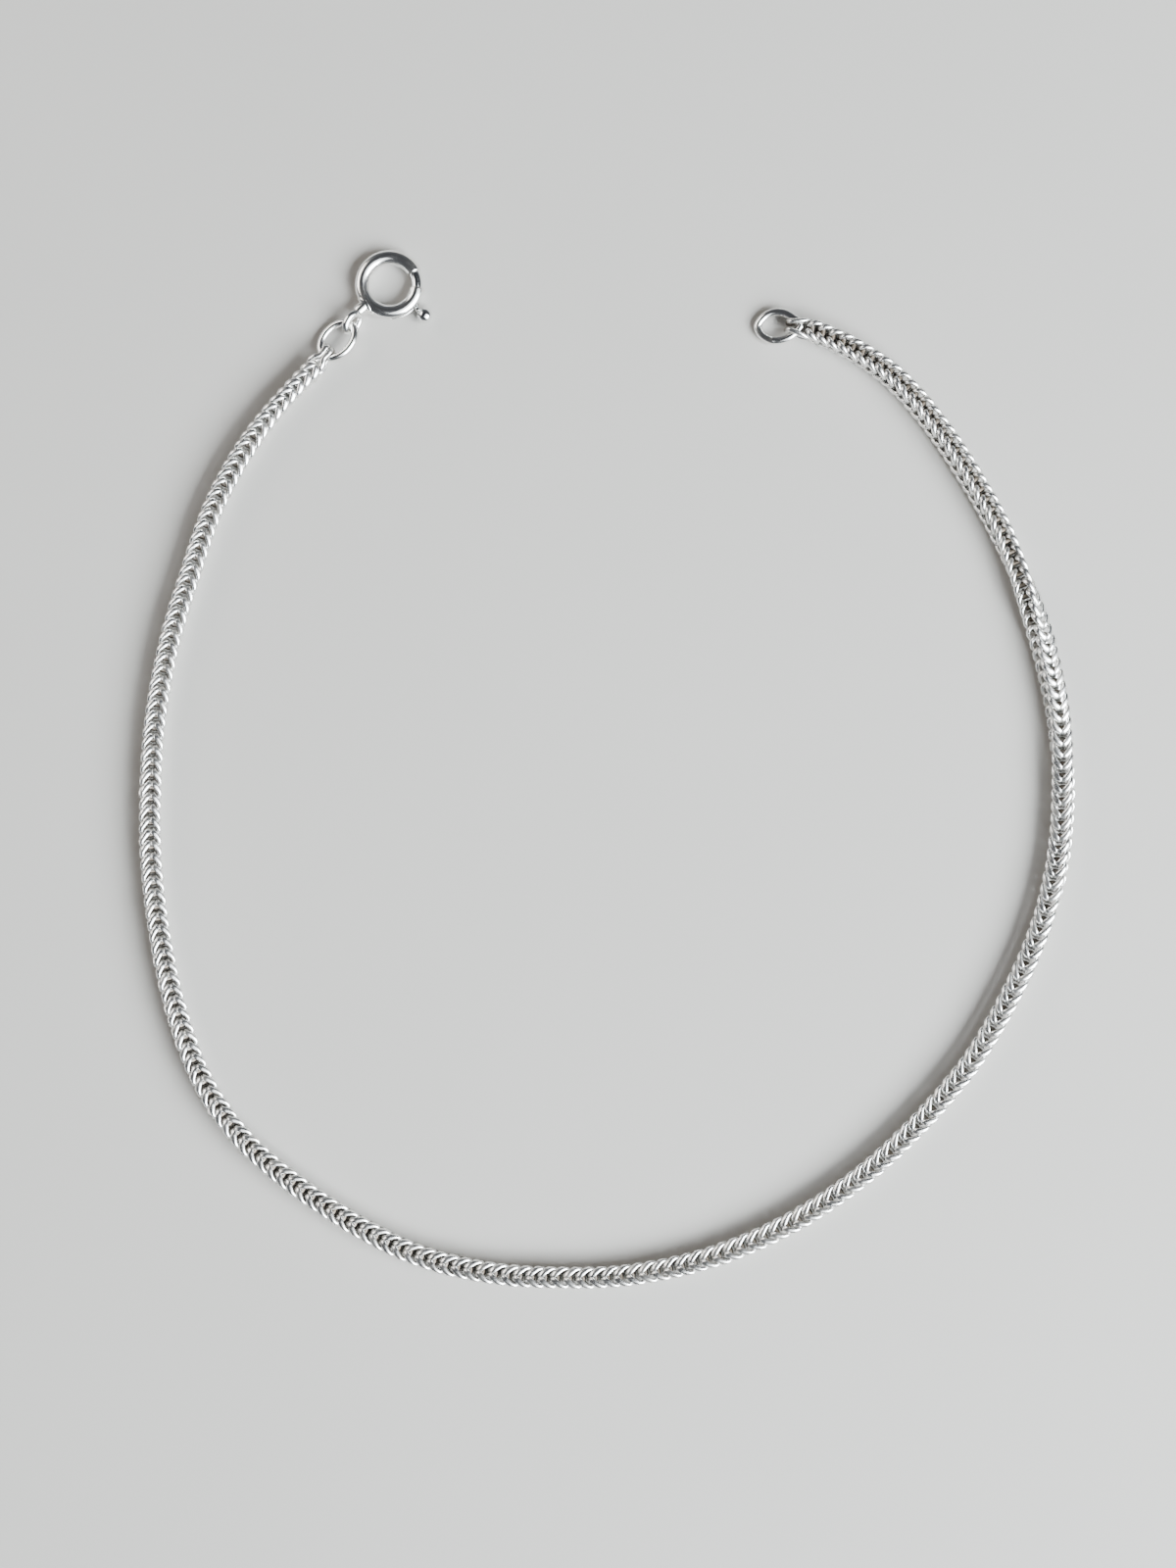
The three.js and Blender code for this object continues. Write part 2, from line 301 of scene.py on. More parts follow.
class BRACELET_PG_clasp(bpy.types.PropertyGroup):
    """Sizes of the spring ring clasp."""

    diameter: length_property("Clasp", "Diameter over the clasp's ring", 0.00600)
    tube: length_property("Tube", "Diameter of the ring's tube", 0.00125)
    bore: length_property("Bore", "Inside diameter of the tube", 0.00101)
    slot: length_property("Slot", "Width of the trigger's slot", 0.00056)
    collar: length_property("Collar", "Diameter of the soldered collar", 0.00106)
    eyelet_wire: length_property("Eyelet wire", "Wire of the eyelet", 0.00068)
    eyelet_length: length_property("Eyelet length", "Longer way across the eyelet", 0.00243)
    eyelet_width: length_property("Eyelet width", "Shorter way across the eyelet", 0.00203)
    bolt: length_property("Bolt", "Diameter of the sliding bolt", 0.00095)
    neck: length_property("Trigger neck", "Diameter of the trigger's neck", 0.00042)
    knob: length_property("Trigger knob", "Diameter of the trigger's knob", 0.00132)
    reach: length_property("Trigger reach", "From the clasp's centre to the knob's", 0.00402)


class BRACELET_PG_finish(bpy.types.PropertyGroup):
    """Colours and wear of the silver."""

    silver: colour_property("Silver", "Colour of the bright metal", (0.90, 0.895, 0.88))
    # Painted shade: the dark colour laid on the links' hollows
    hollow_shade: colour_property("Painted_shade", "Colour of the metal in the hollows", (0.12, 0.10, 0.08))
    chain_roughness: share_property("Chain roughness", "Roughness of the worn links", 0.22)
    clasp_roughness: share_property("Clasp roughness", "Roughness of the rings and the clasp", 0.17)
    wear: share_property("Wear", "Strength of the scratches and dull patches", 0.5)


class BRACELET_PG_stage(bpy.types.PropertyGroup):
    """Floor, light and camera."""

    floor: colour_property("Floor", "Colour of the pale floor", (0.45, 0.435, 0.41))
    key_power: bpy.props.FloatProperty(
        name="Key light", description="Power of the large light on the right", default=17.0, unit="POWER"
    )
    fill_power: bpy.props.FloatProperty(
        name="Fill light", description="Power of the light on the left", default=1.2, unit="POWER"
    )
    panel_power: bpy.props.FloatProperty(
        name="Panel", description="Power of the panel that only the metal mirrors", default=6.0, unit="POWER"
    )
    sky: share_property("Sky", "Strength of the light from all round", 0.20)
    lens: bpy.props.FloatProperty(
        name="Lens", description="Focal length", default=50.0, unit="CAMERA", subtype="DISTANCE_CAMERA"
    )


class Socket:
    """A shader socket that takes part in sums: each operator adds a Math node."""

    def __init__(self, shader, link):
        self.shader = shader
        self.link = link

    def math(self, operation, *values):
        count = len(values)
        inputs = {place: values[place] for place in range(count)}
        return self.shader.node("ShaderNodeMath", {"operation": operation}, inputs).out()

    def __add__(self, other):
        return self.math("ADD", self, other)

    def __radd__(self, other):
        return self.math("ADD", other, self)

    def __sub__(self, other):
        return self.math("SUBTRACT", self, other)

    def __rsub__(self, other):
        return self.math("SUBTRACT", other, self)

    def __mul__(self, other):
        return self.math("MULTIPLY", self, other)

    def __rmul__(self, other):
        return self.math("MULTIPLY", other, self)


class ShaderNode:
    """A node with its output sockets at hand."""

    def __init__(self, shader, made):
        self.shader = shader
        self.made = made

    def out(self, name=0):
        return Socket(self.shader, self.made.outputs[name])


class Shader:
    """A node tree that is built by one method."""

    def __init__(self, tree):
        self.tree = tree
        tree.nodes.clear()

    def node(self, kind, settings=None, inputs=None):
        made = self.tree.nodes.new(kind)
        for name, value in (settings or {}).items():
            if name == "stops":
                self.set_stops(made.color_ramp, value)
            else:
                setattr(made, name, value)
        for name, value in (inputs or {}).items():
            if isinstance(value, Socket):
                self.tree.links.new(value.link, made.inputs[name])
            else:
                made.inputs[name].default_value = value
        return ShaderNode(self, made)

    def set_stops(self, ramp, stops):
        while len(ramp.elements) < len(stops):
            ramp.elements.new(1.0)
        for element, (place, colour) in zip(ramp.elements, stops):
            element.position = place
            element.color = colour

    def clamped(self, value, low, high):
        """0 below low, 1 above high, smooth between."""
        settings = {"interpolation_type": "SMOOTHSTEP"}
        inputs = {"Value": value, "From Min": low, "From Max": high}
        return self.node("ShaderNodeMapRange", settings, inputs).out("Result")

    def mixed(self, share, first, second):
        """A colour between two colours."""
        return self.node("ShaderNodeMix", {"data_type": "RGBA"}, {0: share, 6: first, 7: second}).out(2)


def solid_colour(colour):
    return (*colour, 1.0)


def silver_material(name, finish, roughness, patch_size):
    """Worn silver: dull patches, fine scratches, and painted shade where the mesh says it is hollow."""
    material = bpy.data.materials.new(name)
    material.use_nodes = True
    shader = Shader(material.node_tree)
    place = shader.node("ShaderNodeTexCoord").out("Object")
    hollow = shader.node("ShaderNodeAttribute", {"attribute_name": "hollow"}).out("Fac")
    tone = shader.node("ShaderNodeAttribute", {"attribute_name": "tone"}).out("Fac")
    patches = shader.node(
        "ShaderNodeTexNoise", {}, {"Vector": place, "Scale": 1 / patch_size, "Detail": 4.0, "Roughness": 0.6}
    ).out("Fac")
    grain = shader.node(
        "ShaderNodeTexNoise", {}, {"Vector": place, "Scale": GRAIN_SCALE, "Detail": 3.0, "Roughness": 0.7}
    ).out("Fac")
    lines = [scratch_lines(shader, place, math.radians(turn)) for turn in SCRATCH_TURNS]
    scratch = lines[0] + lines[1]
    dull = shader.clamped(patches, *DULL_BAND)
    # Painted shade: the hollow share, mottled by the patches
    painted_shade = hollow * (0.75 + 0.5 * patches)
    silver = solid_colour(finish.silver)
    warm = solid_colour(value * tint for value, tint in zip(finish.silver, WARM_TINT))
    body = shader.mixed(dull * finish.wear, silver, warm)
    # The colour goes to the dark painted-shade colour where that share is high
    colour = shader.mixed(shader.clamped(painted_shade, *PAINTED_SHADE_BAND), body, solid_colour(finish.hollow_shade))
    worn = dull * DULL_ROUGHNESS + scratch * SCRATCH_ROUGHNESS + grain * GRAIN_ROUGHNESS
    rough = roughness + worn * finish.wear + hollow * HOLLOW_ROUGHNESS + tone * TONE_ROUGHNESS
    height = grain * GRAIN_HEIGHT - scratch * SCRATCH_HEIGHT + patches * PATCH_HEIGHT
    inputs = {"Strength": BUMP_STRENGTH, "Distance": BUMP_DISTANCE, "Height": height}
    bump = shader.node("ShaderNodeBump", {}, inputs).out()
    surface = shader.node(
        "ShaderNodeBsdfPrincipled",
        {},
        {"Base Color": colour, "Metallic": 1.0, "Roughness": rough, "Normal": bump},
    ).out()
    shader.node("ShaderNodeOutputMaterial", {}, {"Surface": surface})
    return material


def scratch_lines(shader, place, turn):
    """Short fine lines across the metal in one direction."""
    inputs = {"Vector": place, "Rotation": (0.0, 0.0, turn), "Scale": SCRATCH_STRETCH}
    stretched = shader.node("ShaderNodeMapping", {}, inputs).out()
    inputs = {"Vector": stretched, "Scale": 1.0, "Detail": 1.0}
    noise = shader.node("ShaderNodeTexNoise", {}, inputs).out("Fac")
    return shader.clamped(noise, *SCRATCH_BAND)


def floor_material(colour):
    """Matt pale paper with a faint mottle."""
    material = bpy.data.materials.new("pale_floor")
    material.use_nodes = True
    shader = Shader(material.node_tree)
    place = shader.node("ShaderNodeTexCoord").out("Object")
    mottle = shader.node("ShaderNodeTexNoise", {}, {"Vector": place, "Scale": 40.0, "Detail": 5.0}).out("Fac")
    darker = tuple(0.95 * value for value in colour)
    tint = shader.mixed(mottle, solid_colour(colour), solid_colour(darker))
    surface = shader.node("ShaderNodeBsdfPrincipled", {}, {"Base Color": tint, "Roughness": 0.8}).out()
    shader.node("ShaderNodeOutputMaterial", {}, {"Surface": surface})
    return material


def smooth_curve(points, closed, fine=24):
    """Fine points along a centripetal Catmull-Rom curve through the given points."""
    given = np.array(points, float)
    if closed:
        run = np.vstack([given[-1:], given, given[:2]])
    else:
        run = np.vstack([2 * given[:1] - given[1:2], given, 2 * given[-1:] - given[-2:-1]])
    before, start, end, after = run[:-3], run[1:-2], run[2:-1], run[3:]

    def knot(first, second):
        return np.sqrt(np.linalg.norm(second - first, axis=1))[:, None]

    lead, span, trail = knot(before, start), knot(start, end), knot(end, after)
    leave = ((start - before) / lead - (end - before) / (lead + span) + (end - start) / span) * span
    arrive = ((end - start) / span - (after - start) / (span + trail) + (after - end) / trail) * span
    share = (np.arange(fine) / fine)[None, :, None]
    start, end, leave, arrive = (value[:, None, :] for value in (start, end, leave, arrive))
    square = share * share
    cube = square * share
    curve = (
        (2 * cube - 3 * square + 1) * start
        + (cube - 2 * square + share) * leave
        + (3 * square - 2 * cube) * end
        + (cube - square) * arrive
    ).reshape(-1, given.shape[1])
    last = given[:1] if closed else given[-1:]
    return np.vstack([curve, last])


def smooth_share(share):
    """0 below 0, 1 above 1, smooth between."""
    kept = np.clip(share, 0, 1)
    return kept * kept * (3 - 2 * kept)


def lengths_along(points):
    steps = np.linalg.norm(np.diff(points, axis=0), axis=1)
    return np.concatenate([[0.0], np.cumsum(steps)])


def even_points(points, count, closed):
    """Points at equal distances along a fine run of points."""
    travelled = lengths_along(points)
    wanted = np.linspace(0, travelled[-1], count, endpoint=not closed)
    columns = [np.interp(wanted, travelled, column) for column in points.T]
    return np.stack(columns, axis=1)


class Route:
    """The chain's middle line on the floor plan, by distance from the first link's fold."""

    def __init__(self, points):
        self.points = smooth_curve(points, closed=False, fine=40)
        self.travelled = lengths_along(self.points)
        self.length = self.travelled[-1]
        slopes = np.gradient(self.points, axis=0)
        self.headings = np.unwrap(np.arctan2(slopes[:, 1], slopes[:, 0]))

    def place(self, distance):
        x = np.interp(distance, self.travelled, self.points[:, 0])
        y = np.interp(distance, self.travelled, self.points[:, 1])
        return x, y

    def heading(self, distance):
        return np.interp(distance, self.travelled, self.headings)


def chain_roll(distance):
    """The chain's twist in radians at a distance, eased between the places where it is known."""
    places = np.array([lay.at for lay in CHAIN_LAY])
    rolls = np.array([lay.roll for lay in CHAIN_LAY], float)
    eased = sum(np.interp(distance + shift * TWIST_REACH, places, rolls) for shift in TWIST_SHIFTS)
    return np.radians(eased / len(TWIST_SHIFTS))


def wire_sections(path, closed):
    """Two directions across the wire at each point, with as little twist as can be."""
    if closed:
        slopes = np.roll(path, -1, axis=0) - np.roll(path, 1, axis=0)
    else:
        slopes = np.gradient(path, axis=0)
    slopes /= np.linalg.norm(slopes, axis=1)[:, None]
    first = np.cross(slopes[0], (0.0, 0.0, 1.0))
    if np.linalg.norm(first) < 0.1:
        first = np.cross(slopes[0], (0.0, 1.0, 0.0))
    across = [first / np.linalg.norm(first)]
    count = len(path)
    for index in range(1, count + closed):
        slope = slopes[index % count]
        kept = across[-1] - slope * np.dot(across[-1], slope)
        across.append(kept / np.linalg.norm(kept))
    across = np.array(across)
    if closed:
        other = np.cross(slopes[0], across[0])
        twist = math.atan2(np.dot(across[-1], other), np.dot(across[-1], across[0]))
        across = across[:-1]
        turns = -twist * np.arange(count) / count
        beside = np.cross(slopes, across)
        across = across * np.cos(turns)[:, None] + beside * np.sin(turns)[:, None]
    return across, np.cross(slopes, across)


def grid_faces(rows, columns, closed):
    """Quads of a tube whose rings follow each other in the vertex order."""
    faces = []
    for row in range(rows if closed else rows - 1):
        here = row * columns
        after = (row + 1) % rows * columns
        for column in range(columns):
            beside = (column + 1) % columns
            faces.append((here + column, here + beside, after + beside, after + column))
    return faces


def wire_mesh(path, radius, sides, closed):
    """Vertices and faces of a round wire. The ends of an open wire are domed."""
    path = np.asarray(path, float)
    radii = np.broadcast_to(radius, len(path))
    if not closed:
        path, radii = with_domes(path, radius)
    across, beside = wire_sections(path, closed)
    turn = FULL_TURN * np.arange(sides) / sides
    ring = across[:, None, :] * np.cos(turn)[None, :, None] + beside[:, None, :] * np.sin(turn)[None, :, None]
    vertices = (path[:, None, :] + ring * radii[:, None, None]).reshape(-1, 3)
    faces = grid_faces(len(path), sides, closed)
    if not closed:
        faces.append(tuple(reversed(range(sides))))
        faces.append(tuple(range((len(path) - 1) * sides, len(path) * sides)))
    return vertices, faces


def pressed_wire(path, thin, wide, sides):
    """A closed oval wire whose thin way points out from the chain's middle line."""
    slopes = np.roll(path, -1, axis=0) - np.roll(path, 1, axis=0)
    slopes /= np.linalg.norm(slopes, axis=1)[:, None]
    outward = path * np.array((0.0, 1.0, 1.0))
    outward -= slopes * np.sum(outward * slopes, axis=1)[:, None]
    outward /= np.linalg.norm(outward, axis=1)[:, None]
    beside = np.cross(slopes, outward)
    turn = FULL_TURN * (np.arange(sides) + 0.5) / sides
    out_share = np.sign(np.cos(turn)) * np.abs(np.cos(turn)) ** PRESSED_POWER
    side_share = np.sign(np.sin(turn)) * np.abs(np.sin(turn)) ** PRESSED_POWER
    ring = outward[:, None, :] * thin * out_share[None, :, None]
    ring = ring + beside[:, None, :] * wide * side_share[None, :, None]
    return (path[:, None, :] + ring).reshape(-1, 3), grid_faces(len(path), sides, True)


def with_domes(path, radius, share=0.35, steps=5):
    """The path with short rounded ends: extra points whose radius falls away."""
    angles = np.linspace(0, 0.47 * math.pi, steps)
    start = path[0] - path[1]
    end = path[-1] - path[-2]
    start /= np.linalg.norm(start)
    end /= np.linalg.norm(end)
    drop = radius * share
    reach = drop * np.sin(angles)[:, None]
    fall = radius - drop * (1 - np.cos(angles))
    before = (path[0] + start * reach)[::-1]
    after = path[-1] + end * reach
    longer = np.vstack([before, path[1:-1], after])
    radii = np.concatenate([fall[::-1], np.full(len(path) - 2, radius), fall])
    return longer, radii


def lathe_mesh(profile, sides):
    """A closed turned body: profile rows of (radius, height), the first and last on the axis."""
    turn = FULL_TURN * np.arange(sides) / sides
    inner = profile[1:-1]
    vertices = [(0.0, 0.0, profile[0][1])]
    for radius, height in inner:
        vertices += [(radius * math.cos(angle), radius * math.sin(angle), height) for angle in turn]
    vertices.append((0.0, 0.0, profile[-1][1]))
    faces = [tuple(1 + index for index in face) for face in grid_faces(len(inner), sides, False)]
    top = len(vertices) - 1
    last = 1 + (len(inner) - 1) * sides
    for column in range(sides):
        beside = (column + 1) % sides
        faces.append((0, 1 + beside, 1 + column))
        faces.append((top, last + column, last + beside))
    return np.array(vertices), faces


def add_piece(name, vertices, faces, material, body, hollow=None, tone=None):
    """A smooth mesh object that rides on a body, with its painted shade (hollow share) and tone on the
    vertices.
    """
    mesh = bpy.data.meshes.new(name)
    mesh.from_pydata([tuple(vertex) for vertex in np.asarray(vertices).tolist()], [], faces)
    if mesh.validate():
        raise RuntimeError(f"{name}: the mesh has bad faces")
    count = len(mesh.vertices)
    for label, values in (("hollow", hollow), ("tone", tone)):
        attribute = mesh.attributes.new(label, "FLOAT", "POINT")
        attribute.data.foreach_set("value", np.zeros(count) if values is None else np.asarray(values, float))
    mesh.polygons.foreach_set("use_smooth", [True] * len(mesh.polygons))
    mesh.materials.append(material)
    piece = bpy.data.objects.new(name, mesh)
    bpy.context.scene.collection.objects.link(piece)
    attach(piece, body)
    return piece


def moved(vertices, matrix):
    """Vertices after a 4 by 4 matrix."""
    turn = np.array(matrix.to_3x3())
    return np.asarray(vertices) @ turn.T + np.array(matrix.translation)


def link_loop(stations, shank_stretch, ear_reach):
    """The closed middle line of a folded link's wire."""
    quarter = []
    for number, station in enumerate(stations):
        along = station.along
        along += shank_stretch if number >= SHANK_STATION else 0.0
        along += ear_reach if number >= EAR_STATION else 0.0
        if number == SHANK_STATION and shank_stretch:
            bend = quarter[-1]
            quarter.append(bend._replace(along=bend.along + shank_stretch))
        quarter.append(station._replace(along=along))
    outward = quarter[:-1]
    inward = quarter[:0:-1]
    points = []
    quarters = ((outward, 1, 1), (inward, 1, -1), (outward, -1, -1), (inward, -1, 1))
    for run, side_sign, rise_sign in quarters:
        points += [(at.along, side_sign * at.side, rise_sign * at.rise) for at in run]
    return smooth_curve(points, closed=True)


def link_template(chain, stations, spread, shank_stretch, ear_reach, steps, sides):
    """One link's vertices and faces in its own axes, worn flat outside, and its hollow share: how much
    painted shade each vertex gets.
    """
    path = even_points(link_loop(stations, shank_stretch, ear_reach), steps, closed=True)
    vertices, faces = pressed_wire(path, chain.wire / 2, spread / 2, sides)
    vertices[:, 1] = np.clip(vertices[:, 1], -chain.flat_side, chain.flat_side)
    vertices[:, 2] = np.clip(vertices[:, 2], -chain.flat_rise, chain.flat_rise)
    # Painted shade: the further a vertex lies in from the worn outline, the darker it is painted
    outward = np.maximum(np.abs(vertices[:, 1]) / chain.flat_side, np.abs(vertices[:, 2]) / chain.flat_rise)
    return vertices, faces, smooth_share((BRIGHT_FROM - outward) / PAINTED_SHADE_DEPTH)


def link_places(route, chain):
    """Distances of the chain's links along the route, and the pitch at each."""
    start = FIRST_LINK_STRETCH + MODEL_PITCH
    end = route.length - MODEL_PITCH - chain.end_pitch
    fine = np.linspace(start, end, ROUTE_STEPS)
    pitch = chain.end_pitch + chain.slack * np.sin(math.pi * fine / route.length)
    passed = np.concatenate([[0.0], np.cumsum(np.diff(fine) / pitch[:-1])])
    count = int(round(passed[-1])) + 1
    places = np.interp(np.linspace(0, passed[-1], count), passed, fine)
    return places, np.interp(places, fine, pitch)


def resting_height(template, rolls):
    """How high the chain's middle lies when it rests on the floor with a given twist."""
    angles = np.radians(np.arange(-ROLL_LIMIT, ROLL_LIMIT + 1, ROLL_STEP))
    reach = [np.max(np.abs(template[:, 1] * math.sin(a) + template[:, 2] * math.cos(a))) for a in angles]
    return np.interp(rolls, angles, reach)


def laid_chain(chain, route):
    """Vertices, faces, painted-shade shares and tones of all the links between the first and the last."""
    close = link_template(chain, CLOSE_LINK, chain.close_spread, 0.0, 0.0, LINK_STEPS, LINK_SIDES)
    loose = link_template(chain, OPEN_LINK, chain.spread, 0.0, 0.0, LINK_STEPS, LINK_SIDES)
    faces = close[1]
    places, pitch = link_places(route, chain)
    opened = smooth_share((places - CLOSE_UNTIL) / (OPEN_FROM - CLOSE_UNTIL))[:, None, None]
    template = close[0][None] * (1 - opened) + loose[0][None] * opened
    # Painted shade share, blended between the close and the open links
    hollow = close[2][None] * (1 - opened[:, :, 0]) + loose[2][None] * opened[:, :, 0]
    chance = np.random.default_rng(chain.seed)
    count = len(places)
    shake = chance.normal(0.0, chain.shake, count)
    lean = np.radians(chance.normal(0.0, LINK_LEAN, count))
    distance = (places + shake)[:, None] + template[:, :, 0] * (pitch / MODEL_PITCH)[:, None]
    roll = chain_roll(distance) + lean[:, None]
    middle = cad_high.z / 2
    ease = smooth_share(np.minimum(distance, route.length - distance) / SETTLE_REACH)
    rest = np.maximum(resting_height(loose[0], roll), resting_height(close[0], roll))
    height = middle + (rest - middle) * ease
    heading = route.heading(distance)
    x, y = route.place(distance)
    side, rise = template[:, :, 1], template[:, :, 2]
    left = side * np.cos(roll) - rise * np.sin(roll)
    up = side * np.sin(roll) + rise * np.cos(roll)
    vertices = np.stack([x - left * np.sin(heading), y + left * np.cos(heading), height + up], axis=2)
    size = template.shape[1]
    shifted = np.asarray(faces)[None, :, :] + (np.arange(count) * size)[:, None, None]
    tones = np.repeat(chance.uniform(0.0, 1.0, count), size)
    return vertices.reshape(-1, 3), shifted.reshape(-1, 4).tolist(), hollow.ravel(), tones


def placed_on_route(route, distance, roll, swing):
    """Where a single link lies on the route: its along, side and rise turned into the frame."""
    x, y = route.place(distance)
    turn = Matrix.Rotation(float(route.heading(distance)) + math.radians(swing), 4, "Z")
    turn = turn @ Matrix.Rotation(math.radians(roll), 4, "X")
    return Matrix.Translation((float(x), float(y), cad_high.z / 2)) @ turn


def oval_path(length, width, steps):
    """Points round an oval on the floor plan."""
    turn = FULL_TURN * np.arange(steps) / steps
    return np.stack([length / 2 * np.cos(turn), width / 2 * np.sin(turn), np.zeros(steps)], axis=1)


def clasp_matrix():
    """The clasp's own axes: its centre is the joint's, and it leans up towards its collar."""
    uphill = math.radians(COLLAR_ANGLE)
    hinge = Vector((math.sin(uphill), -math.cos(uphill), 0.0))
    return Matrix.Translation(CLASP_JOINT["pos_m"]) @ Matrix.Rotation(math.radians(CLASP_LIFT), 4, hinge)


def clasp_arc(radius, start, end, step=1.5):
    """Points round the clasp's axis, in its own axes."""
    count = int(round((end - start) / step)) + 1
    turn = np.radians(np.linspace(start, end, count))
    return np.stack([radius * np.cos(turn), radius * np.sin(turn), np.zeros(count)], axis=1)


def tube_shell(clasp):
    """The clasp's hollow ring: an outer and an inner skin, open at the gap and along the slot."""
    ring = (clasp.diameter - clasp.tube) / 2
    slot_half = math.asin(clasp.slot / clasp.tube)
    wall = np.linspace(slot_half, FULL_TURN - slot_half, TUBE_SIDES)
    mouth = np.linspace(-slot_half, slot_half, SLOT_STEPS)[1:-1]
    around = np.concatenate([wall, FULL_TURN + mouth])
    turn = np.radians(np.linspace(GAP_TO, 360 + GAP_FROM, TUBE_STEPS))
    slot_low = math.radians(360 + SLOT_FROM)
    slot_high = math.radians(360 + SLOT_TO)
    rows, columns = len(turn), len(around)
    first_mouth = len(wall) - 1
    ease = np.minimum(turn - turn[0], turn[-1] - turn) * ring
    lip = 1 - LIP_DEPTH * np.clip(1 - ease / LIP_REACH, 0, 1) ** 2
    skins = []
    for radius, shape in ((clasp.tube / 2, lip), (clasp.bore / 2, np.ones(rows))):
        reach = ring + radius * shape[:, None] * np.cos(around)[None, :]
        rise = radius * shape[:, None] * np.sin(around)[None, :]
        skins.append(np.stack([reach * np.cos(turn)[:, None], reach * np.sin(turn)[:, None], rise], axis=2))
    vertices = np.concatenate([skin.reshape(-1, 3) for skin in skins])
    inner = rows * columns

    def kept(row, column):
        in_slot = slot_low <= turn[row] and turn[row + 1] <= slot_high
        return not (in_slot and column >= first_mouth)

    cells = [(row, column) for row in range(rows - 1) for column in range(columns) if kept(row, column)]
    faces = []
    rims = {}
    for row, column in cells:
        beside = (column + 1) % columns
        corners = (
            row * columns + column,
            (row + 1) * columns + column,
            (row + 1) * columns + beside,
            row * columns + beside,
        )
        faces.append(corners)
        faces.append(tuple(inner + corner for corner in reversed(corners)))
        for start, end in zip(corners, corners[1:] + corners[:1]):
            if (end, start) in rims:
                del rims[(end, start)]
            else:
                rims[(start, end)] = True
    faces += [(end, start, inner + start, inner + end) for start, end in rims]
    return without_loose(vertices, faces)


def saddle_mesh(clasp):
    """A leaf of metal bent round the outside of the clasp's tube, under the collar."""
    ring = (clasp.diameter - clasp.tube) / 2
    rows, columns = SADDLE_ROWS, SADDLE_COLUMNS
    vertices = []
    for share in np.linspace(-SADDLE_END, SADDLE_END, rows):
        taper = math.sqrt(1 - share * share)
        turn = math.radians(COLLAR_ANGLE + SADDLE_HALF * share)
        span = np.radians(np.linspace(-SADDLE_SPAN, SADDLE_SPAN, columns)) * taper
        over = np.column_stack([span, np.full(columns, clasp.tube / 2 + SADDLE_WALL * taper)])
        under = np.column_stack([span[::-1], np.full(columns, clasp.tube / 2 - SADDLE_WALL / 2)])
        for angle, radius in np.vstack([over, under]):
            reach = ring + radius * math.cos(angle)
            vertices.append((reach * math.cos(turn), reach * math.sin(turn), radius * math.sin(angle)))
    faces = grid_faces(rows, 2 * columns, False)
    faces.append(tuple(reversed(range(2 * columns))))
    faces.append(tuple(range((rows - 1) * 2 * columns, rows * 2 * columns)))
    return np.array(vertices), [tuple(reversed(face)) for face in faces]


def without_loose(vertices, faces):
    """Drops the vertices that no face uses."""
    used = sorted({corner for face in faces for corner in face})
    place = {corner: number for number, corner in enumerate(used)}
    return vertices[used], [tuple(place[corner] for corner in face) for face in faces]


def facing_matrix(angle, radius):
    """Axes at a place on the clasp whose Z points straight out from its centre."""
    outward = Matrix.Rotation(math.radians(angle), 4, "Z")
    return outward @ Matrix.Translation((radius, 0.0, 0.0)) @ Matrix.Rotation(math.pi / 2, 4, "Y")


class BRACELET_OT_chain(bpy.types.Operator):
    """Lays the folded links along the route"""

    bl_idname = "bracelet.chain"
    bl_label = "Lay the chain"

    def execute(self, context):
        scene = context.scene
        finish = scene.bracelet_finish
        material = silver_material("chain_silver", finish, finish.chain_roughness, CHAIN_PATCH)
        route = Route(ROUTE)
        sizes = scene.bracelet_chain
        vertices, faces, hollow, tone = laid_chain(sizes, route)
        chain = add_piece("foxtail_links", vertices, faces, material, BRACELET_BODY, hollow, tone)
        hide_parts("foxtail_chain")
        ends = (
            ("first_link_wire", "first_link", FIRST_LINK_STRETCH, 0.0, 0.0, FIRST_LINK_ROLL, 0.0),
            (
                "last_link_wire",
                "last_link",
                0.0,
                LAST_LINK_EAR_REACH,
                route.length - MODEL_PITCH,
                LAST_LINK_ROLL,
                LAST_LINK_SWING,
            ),
        )
        for name, node, stretch, reach, distance, roll, swing in ends:
            vertices, faces, hollow = link_template(
                sizes, CLOSE_LINK, sizes.end_spread, stretch, reach, END_LINK_STEPS, END_LINK_SIDES
            )
            vertices = moved(vertices, placed_on_route(route, distance, roll, swing))
            link = add_piece(name, vertices, faces, material, BRACELET_BODY, hollow)
            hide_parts(node)
        return {"FINISHED"}


